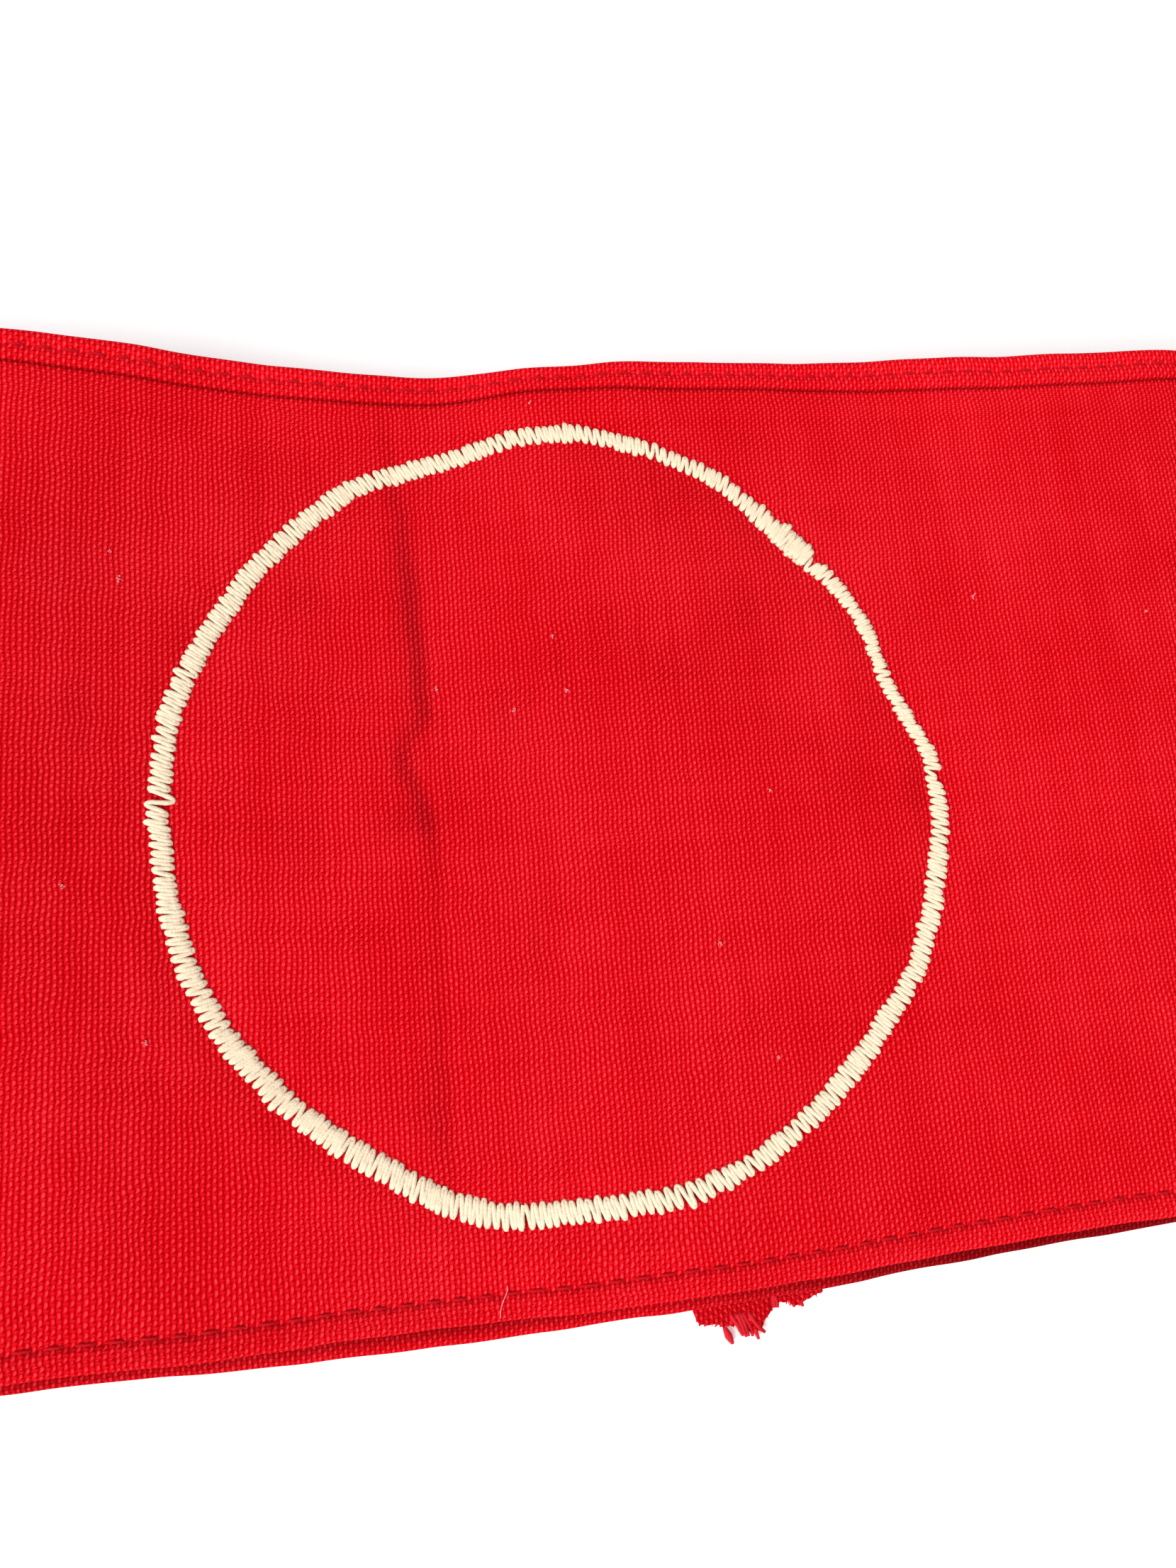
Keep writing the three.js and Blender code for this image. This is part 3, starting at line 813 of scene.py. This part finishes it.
def ply_sheet(name, fray, seed, material):
    """One ply of the seam allowance: a thin strip of cloth on the floor, with a ragged end."""
    rng = np.random.default_rng(seed)
    left, right = fray["x"][0], fray["x"][-1]
    columns = round((right - left) / PLY_STEP)
    xs = np.linspace(left, right, columns + 1)
    ragged = np.interp(xs, fray["x"], fray["past"]) + 0.07 * rng.standard_normal(columns + 1)
    end = LOWER_CENTRE - WIDTH / 2 - ragged
    share = np.concatenate([np.linspace(0, 0.9, 40, endpoint=False), np.linspace(0.9, 1, 30)])
    rows = len(share)
    y = PLY_TOP + (end[None, :] - PLY_TOP) * share[:, None]
    x = np.broadcast_to(xs, y.shape) + 0.06 * np.sin(y / 3.0)
    wave = 0.05 * np.sin(x * 1.9 + y / 2.7) + 0.04 * np.sin(y / 1.1)
    near_end = smooth(0.93, 1.0, share)[:, None]
    half = PLY_THICKNESS / 2 * (1 - 0.35 * near_end)
    mid = PLY_THICKNESS / 2 + 0.02 + wave * (1 - near_end) * 0.4
    top, low = np.stack([x, y, mid + half], -1), np.stack([x, y, mid - half], -1)
    points = np.concatenate([top.reshape(-1, 3), low.reshape(-1, 3)])
    points[:, 2] = np.maximum(points[:, 2], 0.0)
    wide, base = columns + 1, rows * (columns + 1)
    faces = []
    for r in range(rows - 1):
        for c in range(columns):
            a, b, d, e = r * wide + c, r * wide + c + 1, (r + 1) * wide + c, (r + 1) * wide + c + 1
            faces += [(a, d, e, b), (base + a, base + b, base + e, base + d)]
    for r in range(rows - 1):
        a, d = r * wide, (r + 1) * wide
        faces.append((a, base + a, base + d, d))
        a, d = a + columns, d + columns
        faces.append((a, d, base + d, base + a))
    for c in range(columns):
        faces.append((c, c + 1, base + c + 1, base + c))
        a = (rows - 1) * wide + c
        faces.append((a, base + a, base + a + 1, a + 1))
    sheet = mesh_from(name, points, faces, material)
    weave_map(sheet.data, [points[k][:2] + PLY_WEAVE_SHIFT for ids in faces for k in ids])
    point_value(sheet.data, "shade", 0.92 + 0.10 * rng.random(len(points)))
    return sheet


def loose_thread(start, heading, length, radius, rng, steps=9, curl=0.35):
    """A loose thread's points and radii, in mm, which wanders off from where it starts."""
    points, direction = [np.array(start, float)], np.array(heading, float)
    direction /= np.linalg.norm(direction)
    for _ in range(steps):
        direction = direction + curl * rng.standard_normal(3) * [0.5, 0.5, 0.22]
        direction /= np.linalg.norm(direction)
        step = points[-1] + direction * length / steps
        step[2] = max(step[2], radius)
        points.append(step)
    taper = np.interp(np.linspace(0, 1, steps + 1), [0, 0.8, 1], [1, 0.95, 0.65])
    return np.array(points), radius * taper


def length_setting(name, description, default):
    return bpy.props.FloatProperty(
        name=name, description=description, default=default, unit="LENGTH", precision=6)


def amount_setting(name, description, default, most=None):
    """A plain number, or a factor where there is a most."""
    limits = {"min": 0.0} if most is None else {"min": 0.0, "max": most, "subtype": "FACTOR"}
    return bpy.props.FloatProperty(name=name, description=description, default=default, **limits)


def colour_setting(name, description, default):
    return bpy.props.FloatVectorProperty(
        name=name, description=description, default=default, size=3, subtype="COLOR", min=0.0, max=1.0)


class ArmbandCloth(bpy.types.PropertyGroup):
    """Sizes and colours of the woven cotton."""
    warp_pitch: length_setting(
        "Warp pitch", "Distance between the threads that run across the band", 0.000547)
    weft_pitch: length_setting(
        "Weft pitch", "Distance between the threads that run round the band", 0.000415)
    wander: amount_setting("Thread wander", "How far threads stray, in threads", 0.35, 2.0)
    slub: amount_setting("Slub", "How much a thread's thickness changes", 0.22, 0.6)
    relief: length_setting("Weave relief", "Height of the threads' relief", 0.000095)
    stitch_pitch: length_setting("Hem stitch pitch", "Distance from one hem stitch to the next", 0.0027)
    # The weave's colours run from the painted shade between threads, over the threads' flanks and tops, to
    # the painted highlight on the highest fibres.
    gap_colour: colour_setting("Gap colour", "Colour between threads", (0.47, 0.0, 0.0014))
    body_colour: colour_setting("Body colour", "Colour on a thread's flanks", (0.63, 0.0010, 0.0055))
    thread_colour: colour_setting("Thread colour", "Colour of a thread's top", (0.78, 0.0090, 0.0175))
    crest_colour: colour_setting("Crest colour", "Colour of the highest fibres", (0.98, 0.044, 0.060))


class ArmbandStitching(bpy.types.PropertyGroup):
    """Sizes and colours of the sewing threads."""
    ring_thread: length_setting("Ring thread", "Width of the ring's thread", 0.00055)
    ring_step: length_setting(
        "Ring step", "Distance along the ring from one turn of the zigzag to the next", 0.00043)
    ring_arch: length_setting("Ring arch", "How high the thread bows between its holes", 0.00016)
    hem_thread: length_setting("Hem thread", "Thickness of the hems' thread", 0.00034)
    hem_length: length_setting("Hem stitch length", "Length of a hem stitch that shows", 0.00150)
    cream: colour_setting("Ring colour", "Colour of the ring's thread", (0.94, 0.77, 0.56))
    # Painted shade colour, for deep between the ring's threads and where they turn under.
    cream_gap: colour_setting(
        "Ring gap colour", "Colour deep between the ring's threads", (0.22, 0.13, 0.07))
    # The hem thread's own red, painted darker for the shade where the stitches sink into the cloth.
    hem_colour: colour_setting("Hem thread colour", "Colour of the hems' thread", (0.52, 0.001, 0.008))


class ArmbandStage(bpy.types.PropertyGroup):
    """Floor and light."""
    floor_colour: colour_setting("Floor colour", "Colour of the floor", (0.93, 0.93, 0.93))
    floor_glow: amount_setting(
        "Floor glow", "Light that the floor itself gives, to keep its shadows faint", 0.22)
    room_light: amount_setting("Room light", "Brightness of the even light from all round", 0.60)
    key_power: bpy.props.FloatProperty(
        name="Key light", description="Power of the soft light from the lower left", default=7.5,
        unit="POWER", min=0.0)


class ARMBAND_OT_band(bpy.types.Operator):
    """Make the loop of woven cotton with its two turned hems"""
    bl_idname = "armband.band"
    bl_label = "Cotton band"

    def execute(self, context):
        cloth = context.scene.armband_cloth
        q, outline = stations(), section()
        v, n = outline[:, 0], outline[:, 1]
        reached, total = run_lengths(q)
        parts = np.diff(np.vstack([outline, outline[:1]]), axis=0)
        across = np.concatenate([[0.0], np.cumsum(np.hypot(*parts.T))])
        grid_q, grid_v = np.meshgrid(q, v, indexing="ij")
        grid_n = np.broadcast_to(n, grid_q.shape)
        points = on_band(grid_q, grid_v, grid_n).reshape(-1, 3)
        points[:, 2] = np.maximum(points[:, 2], 0.0)
        top_at = int(np.argmin(np.abs(v - (WIDTH / 2 - TOP_STITCH)) + 10 * (n < 0)))
        lines = [(-(WIDTH / 2 - BOTTOM_STITCH) - v[0], BOTTOM_STITCH_REACH),
                 (float(across[top_at]), TOP_STITCH_REACH)]
        material = cotton_material("red_cotton_weave", cloth, 1.0, lines)
        band = mesh_from("band_cotton", points, closed_grid(len(q), len(v)), material)
        i, j = np.meshgrid(np.arange(len(q)), np.arange(len(v)), indexing="ij")
        s0, s1, w0, w1 = reached[i], np.append(reached, total)[i + 1], across[j], across[j + 1]
        corners = [np.stack(pair, -1) for pair in ((s0, w0), (s0, w1), (s1, w1), (s1, w0))]
        weave_map(band.data, np.stack(corners, axis=2).reshape(-1, 2))
        point_value(band.data, "shade", band_shade(grid_q, grid_v, grid_n))
        settle(band, "red_cotton", "band_cloth")
        return {"FINISHED"}


class ARMBAND_OT_ring(bpy.types.Operator):
    """Make the ring of zigzag stitching on the reverse of the band"""
    bl_idname = "armband.ring"
    bl_label = "Stitched ring"

    def execute(self, context):
        sewing = context.scene.armband_stitching
        thread = thread_material("cream_thread_twist", sewing.cream_gap, sewing.cream, 0.75)
        tree = zigzag_tree()
        step = sewing.ring_step / MM
        values = {"Thread Width": sewing.ring_thread, "Arch": sewing.ring_arch, "Flatness": 0.65,
                  "Edge Wander": 0.00009, "Sides": 8, "Seed": 3, "Material": thread}
        turns = ring_turns(step, 11, *ROUND_FROM_TO, even=False)
        ring = grow(ring_path("ring_zigzag", turns, 9, RING_BASE), tree, values)
        settle(ring, "cream_thread", "ring_stitching")
        extra = ring_turns(OVERLAP["step"], 23, OVERLAP["from"], OVERLAP["to"])
        extra[:, 1] *= OVERLAP["width"]
        extra[:, 2] += OVERLAP["shift"]
        clump = grow(ring_path("ring_overlap", extra, 9, OVERLAP["base"]), tree, values | {"Seed": 9})
        settle(clump, "cream_thread")
        inner = ring_turns(step * 1.02, 31, *ROUND_FROM_TO)
        finer = {"Arch": 0.00012, "Thread Width": 0.00030, "Sides": 6, "Seed": 17}
        through = grow(ring_path("ring_reverse", inner, 4, REVERSE_BASE, face=-1.0), tree, values | finer)
        settle(through, "cream_thread")
        return {"FINISHED"}


class ARMBAND_OT_hem_stitches(bpy.types.Operator):
    """Make the two lines of hem stitches, on both faces of the cloth"""
    bl_idname = "armband.hem_stitches"
    bl_label = "Hem stitches"

    def execute(self, context):
        sewing, cloth = context.scene.armband_stitching, context.scene.armband_cloth
        q = stations()
        reached, total = run_lengths(q)
        hem_face, face = WALL / 2 + HEM - GROOVE + STITCH_LIFT, WALL / 2 - GROOVE + STITCH_LIFT
        top, bottom = WIDTH / 2 - TOP_STITCH, WIDTH / 2 - BOTTOM_STITCH
        lines = [(top, hem_face), (-bottom, face), (top, -face), (-bottom, -hem_face)]
        red = sewing.hem_colour
        # The thread's painted shade, where it turns under, is 0.4 of its red.
        thread = thread_material("red_hem_thread", [0.4 * c for c in red], red, 0.25)
        points = stitch_points("hem_stitches", lines, q, reached, total, cloth.stitch_pitch / MM)
        stitches = grow(points, running_stitch_tree(), {
            "Length": sewing.hem_length, "Thread Width": sewing.hem_thread, "Rise": 0.00022, "Seed": 5,
            "Material": thread})
        for vertex in stitches.data.vertices:
            vertex.co.z = max(vertex.co.z, 0.0)
        settle(stitches, "red_cotton")
        return {"FINISHED"}


class ARMBAND_OT_seam(bpy.types.Operator):
    """Make the seam's two plies under the loop, with their frayed ends"""
    bl_idname = "armband.seam"
    bl_label = "Frayed seam"

    def execute(self, context):
        # The plies' cloth is painted darker, at 0.84 of the band's colour, for the shade they lie in.
        raw = cotton_material("raw_cotton_weave", context.scene.armband_cloth, 0.84)
        left = ply_sheet("seam_ply_left", LEFT_FRAY, 41, raw)
        right = ply_sheet("seam_ply_right", RIGHT_FRAY, 42, raw)
        rng = np.random.default_rng(43)
        edge = LOWER_CENTRE - WIDTH / 2
        runs = []
        for fray, count in ((LEFT_FRAY, 44), (RIGHT_FRAY, 22)):
            for x in rng.uniform(fray["x"][0] + 0.1, fray["x"][-1] - 0.1, count):
                start = (x, edge - np.interp(x, fray["x"], fray["past"]) + 0.25, rng.uniform(0.25, 0.85))
                heading, length = (rng.normal(0, 0.5), -1, 0), rng.uniform(0.30, 0.55)
                runs.append(loose_thread(start, heading, length, 0.08, rng, steps=5))
        for x in np.linspace(8.0, 10.1, 7):
            start, length = (x - 1.3, edge - 1.3, rng.uniform(0.55, 0.85)), rng.uniform(2.3, 3.4)
            runs.append(loose_thread(start, (0.45, -1, 0.02), length, 0.27, rng, curl=0.12))
        start = (5.75, edge - 2.0, 0.55)
        spindle, thick = loose_thread(start, (0.22, -1, 0.0), 2.6, 0.36, rng, steps=12, curl=0.08)
        thick *= np.interp(np.linspace(0, 1, len(thick)), [0, 0.2, 0.6, 1], [0.45, 0.6, 1.35, 0.8])
        runs.append((spindle, thick))
        for x in np.linspace(10.9, 12.3, 7):
            start = (x - 0.3, edge + 0.4, 0.6)
            runs.append(loose_thread(start, (0.25, -1, 0), rng.uniform(1.6, 2.1), 0.26, rng, curl=0.1))
        for x in (13.9, 14.5, 15.1):
            runs.append(loose_thread((x, edge - 0.6, 0.6), (0.4, -1, 0), 1.0, 0.22, rng, curl=0.2))
        # The frayed threads' red is painted darker for the same shade.
        strand = thread_material("raw_cotton_strand", (0.24, 0.0, 0.002), (0.80, 0.018, 0.034), 0.9)
        threads = tubes("seam_frayed_threads", runs, 7, strand)
        point_value(threads.data, "upward", np.full(len(threads.data.vertices), 0.62))
        settle(left, "raw_cotton", "seam_allowance_left")
        settle(right, "raw_cotton", "seam_allowance_right")
        settle(threads, "raw_cotton")
        for ply, fray, past, going in ((left, LEFT_FRAY, 2.3, [threads]), (right, RIGHT_FRAY, 0.9, [])):
            wide, long = (fray["x"][-1] - fray["x"][0]) * MM, (PLY_TOP - edge + past) * MM
            wide * long
        return {"FINISHED"}


# Specks of lint on the upper layer, and one loose hair: place along and across.
LINT = {
    "x": [-8.5, -56.9, -55.9, -8.2, -22.1, -7.1, -13.3, 15.3, -61.0, 7.4, -53.3, 12.4, 44.8, 67.2],
    "v": [49.0, 28.1, 24.8, 18.4, 13.5, 11.6, 10.1, -2.0, -8.9, -19.0, -24.9, -31.9, 20.6, 17.0],
    "size": [0.36, 0.24, 0.42, 0.28, 0.34, 0.40, 0.36, 0.30, 0.36, 0.44, 0.40, 0.28, 0.50, 0.26],
}
HAIR = {"x": [-18.6, -18.8, -19.2, -19.6], "v": [-50.4, -51.1, -52.3, -53.4]}


class ARMBAND_OT_lint(bpy.types.Operator):
    """Make the specks of lint and the loose hair that lie on the cloth"""
    bl_idname = "armband.lint"
    bl_label = "Lint"

    def execute(self, context):
        rng = np.random.default_rng(51)
        runs = []
        for x, v, size in zip(*LINT.values()):
            for _ in range(6):
                t = np.linspace(0, 1, 8)
                bend = rng.uniform(0, 2 * math.pi) + t * rng.uniform(2.0, 5.5)
                xs = x + size * (0.22 * np.cumsum(np.cos(bend)) / 2 + 0.25 * rng.standard_normal())
                vs = v + size * (0.22 * np.cumsum(np.sin(bend)) / 2 + 0.25 * rng.standard_normal())
                rise = 0.05 + 0.14 * np.sin(t * math.pi)
                runs.append((on_band(upper_q(xs), vs, WALL / 2 + rise), np.full(8, 0.038)))
        t = np.linspace(0, 1, 14)
        xs = np.interp(t, np.linspace(0, 1, 4), HAIR["x"]) + 0.12 * np.sin(t * 7)
        vs = np.interp(t, np.linspace(0, 1, 4), HAIR["v"])
        rise = 0.12 + 0.1 * np.sin(t * math.pi)
        runs.append((on_band(upper_q(xs), vs, WALL / 2 + rise), np.full(14, 0.045)))
        fluff = thread_material("lint_fibre", (0.80, 0.10, 0.13), (0.95, 0.34, 0.36), 0.3)
        lint = tubes("lint_specks", runs, 5, fluff)
        point_value(lint.data, "upward", np.full(len(lint.data.vertices), 0.75))
        settle(lint, "cream_thread")
        return {"FINISHED"}


class ARMBAND_OT_stage(bpy.types.Operator):
    """Make the pale floor, the soft light and the camera"""
    bl_idname = "armband.stage"
    bl_label = "Stage"

    def execute(self, context):
        scene, stage = context.scene, context.scene.armband_stage
        corners = [(-FLOOR_HALF, -FLOOR_HALF, 0), (FLOOR_HALF, -FLOOR_HALF, 0),
                   (FLOOR_HALF, FLOOR_HALF, 0), (-FLOOR_HALF, FLOOR_HALF, 0)]
        floor = mesh_from("floor", corners, [(0, 1, 2, 3)])
        material, tree, shader = new_material("pale_floor", 0.9, 0.0)
        base = stage.floor_colour
        mottle = noise(tree, node(tree, "ShaderNodeTexCoord").outputs["Object"], 12.0)
        colour = ramp(tree, mottle, [(0.3, [c * 0.995 for c in base]), (0.7, base)])
        plug(tree, shader.inputs["Base Color"], colour)
        shader.inputs["Emission Color"].default_value = WHITE
        shader.inputs["Emission Strength"].default_value = stage.floor_glow
        floor.data.materials.append(material)
        world = bpy.data.worlds.new("pale_room")
        world.use_nodes = True
        sky = world.node_tree.nodes["Background"]
        sky.inputs["Color"].default_value = WHITE
        sky.inputs["Strength"].default_value = stage.room_light
        scene.world = world
        lamp = bpy.data.lights.new("key_light", "AREA")
        lamp.shape, lamp.size, lamp.energy = "DISK", 0.55, stage.key_power
        key = new_object("key_light", lamp)
        key.location = (-0.52, -0.40, 0.60)
        key.rotation_mode = "QUATERNION"
        key.rotation_quaternion = Vector(key.location).to_track_quat("Z", "Y")
        lens = bpy.data.cameras.new("camera")
        camera = new_object("camera", lens)
        lens.sensor_width, lens.lens = SENSOR, FOCAL_PIXELS * SENSOR / PHOTO_HEIGHT
        lens.clip_start, lens.clip_end = 0.005, 20.0
        ahead, up = Vector((0.169, 0.216, -0.962)).normalized(), Vector((0.053, 0.972, 0.228))
        right = ahead.cross(up).normalized()
        up = right.cross(ahead)
        camera.matrix_world = Matrix((
            (right.x, up.x, -ahead.x, -0.0262), (right.y, up.y, -ahead.y, -0.0221),
            (right.z, up.z, -ahead.z, 0.1273), (0, 0, 0, 1)))
        scene.camera = camera
        scene.view_settings.view_transform = "Standard"
        return {"FINISHED"}


class ARMBAND_PT_panel(bpy.types.Panel):
    """Lists the armband's pieces and their settings"""
    bl_idname = "ARMBAND_PT_panel"
    bl_label = "Armband"
    bl_space_type = "VIEW_3D"
    bl_region_type = "UI"
    bl_category = "Armband"

    def draw(self, context):
        for key in SETTINGS:
            box, settings = self.layout.box(), getattr(context.scene, key)
            for name in settings.__annotations__:
                box.prop(settings, name)
        for operator in OPERATORS:
            self.layout.operator(operator.bl_idname)


SETTINGS = {"armband_cloth": ArmbandCloth, "armband_stitching": ArmbandStitching,
            "armband_stage": ArmbandStage}
OPERATORS = (ARMBAND_OT_stage, ARMBAND_OT_band, ARMBAND_OT_ring, ARMBAND_OT_hem_stitches, ARMBAND_OT_seam,
             ARMBAND_OT_lint)


def register():
    for group in SETTINGS.values():
        bpy.utils.register_class(group)
    for key, group in SETTINGS.items():
        setattr(bpy.types.Scene, key, bpy.props.PointerProperty(type=group))
    for one in (*OPERATORS, ARMBAND_PT_panel):
        bpy.utils.register_class(one)


def unregister():
    for one in (ARMBAND_PT_panel, *reversed(OPERATORS)):
        bpy.utils.unregister_class(one)
    for key, group in SETTINGS.items():
        delattr(bpy.types.Scene, key)
        bpy.utils.unregister_class(group)


def main():
    register()
    bpy.ops.armband.stage()
    bpy.ops.armband.band()
    bpy.ops.armband.ring()
    bpy.ops.armband.hem_stitches()
    bpy.ops.armband.seam()
    bpy.ops.armband.lint()


if __name__ == "__main__":
    main()
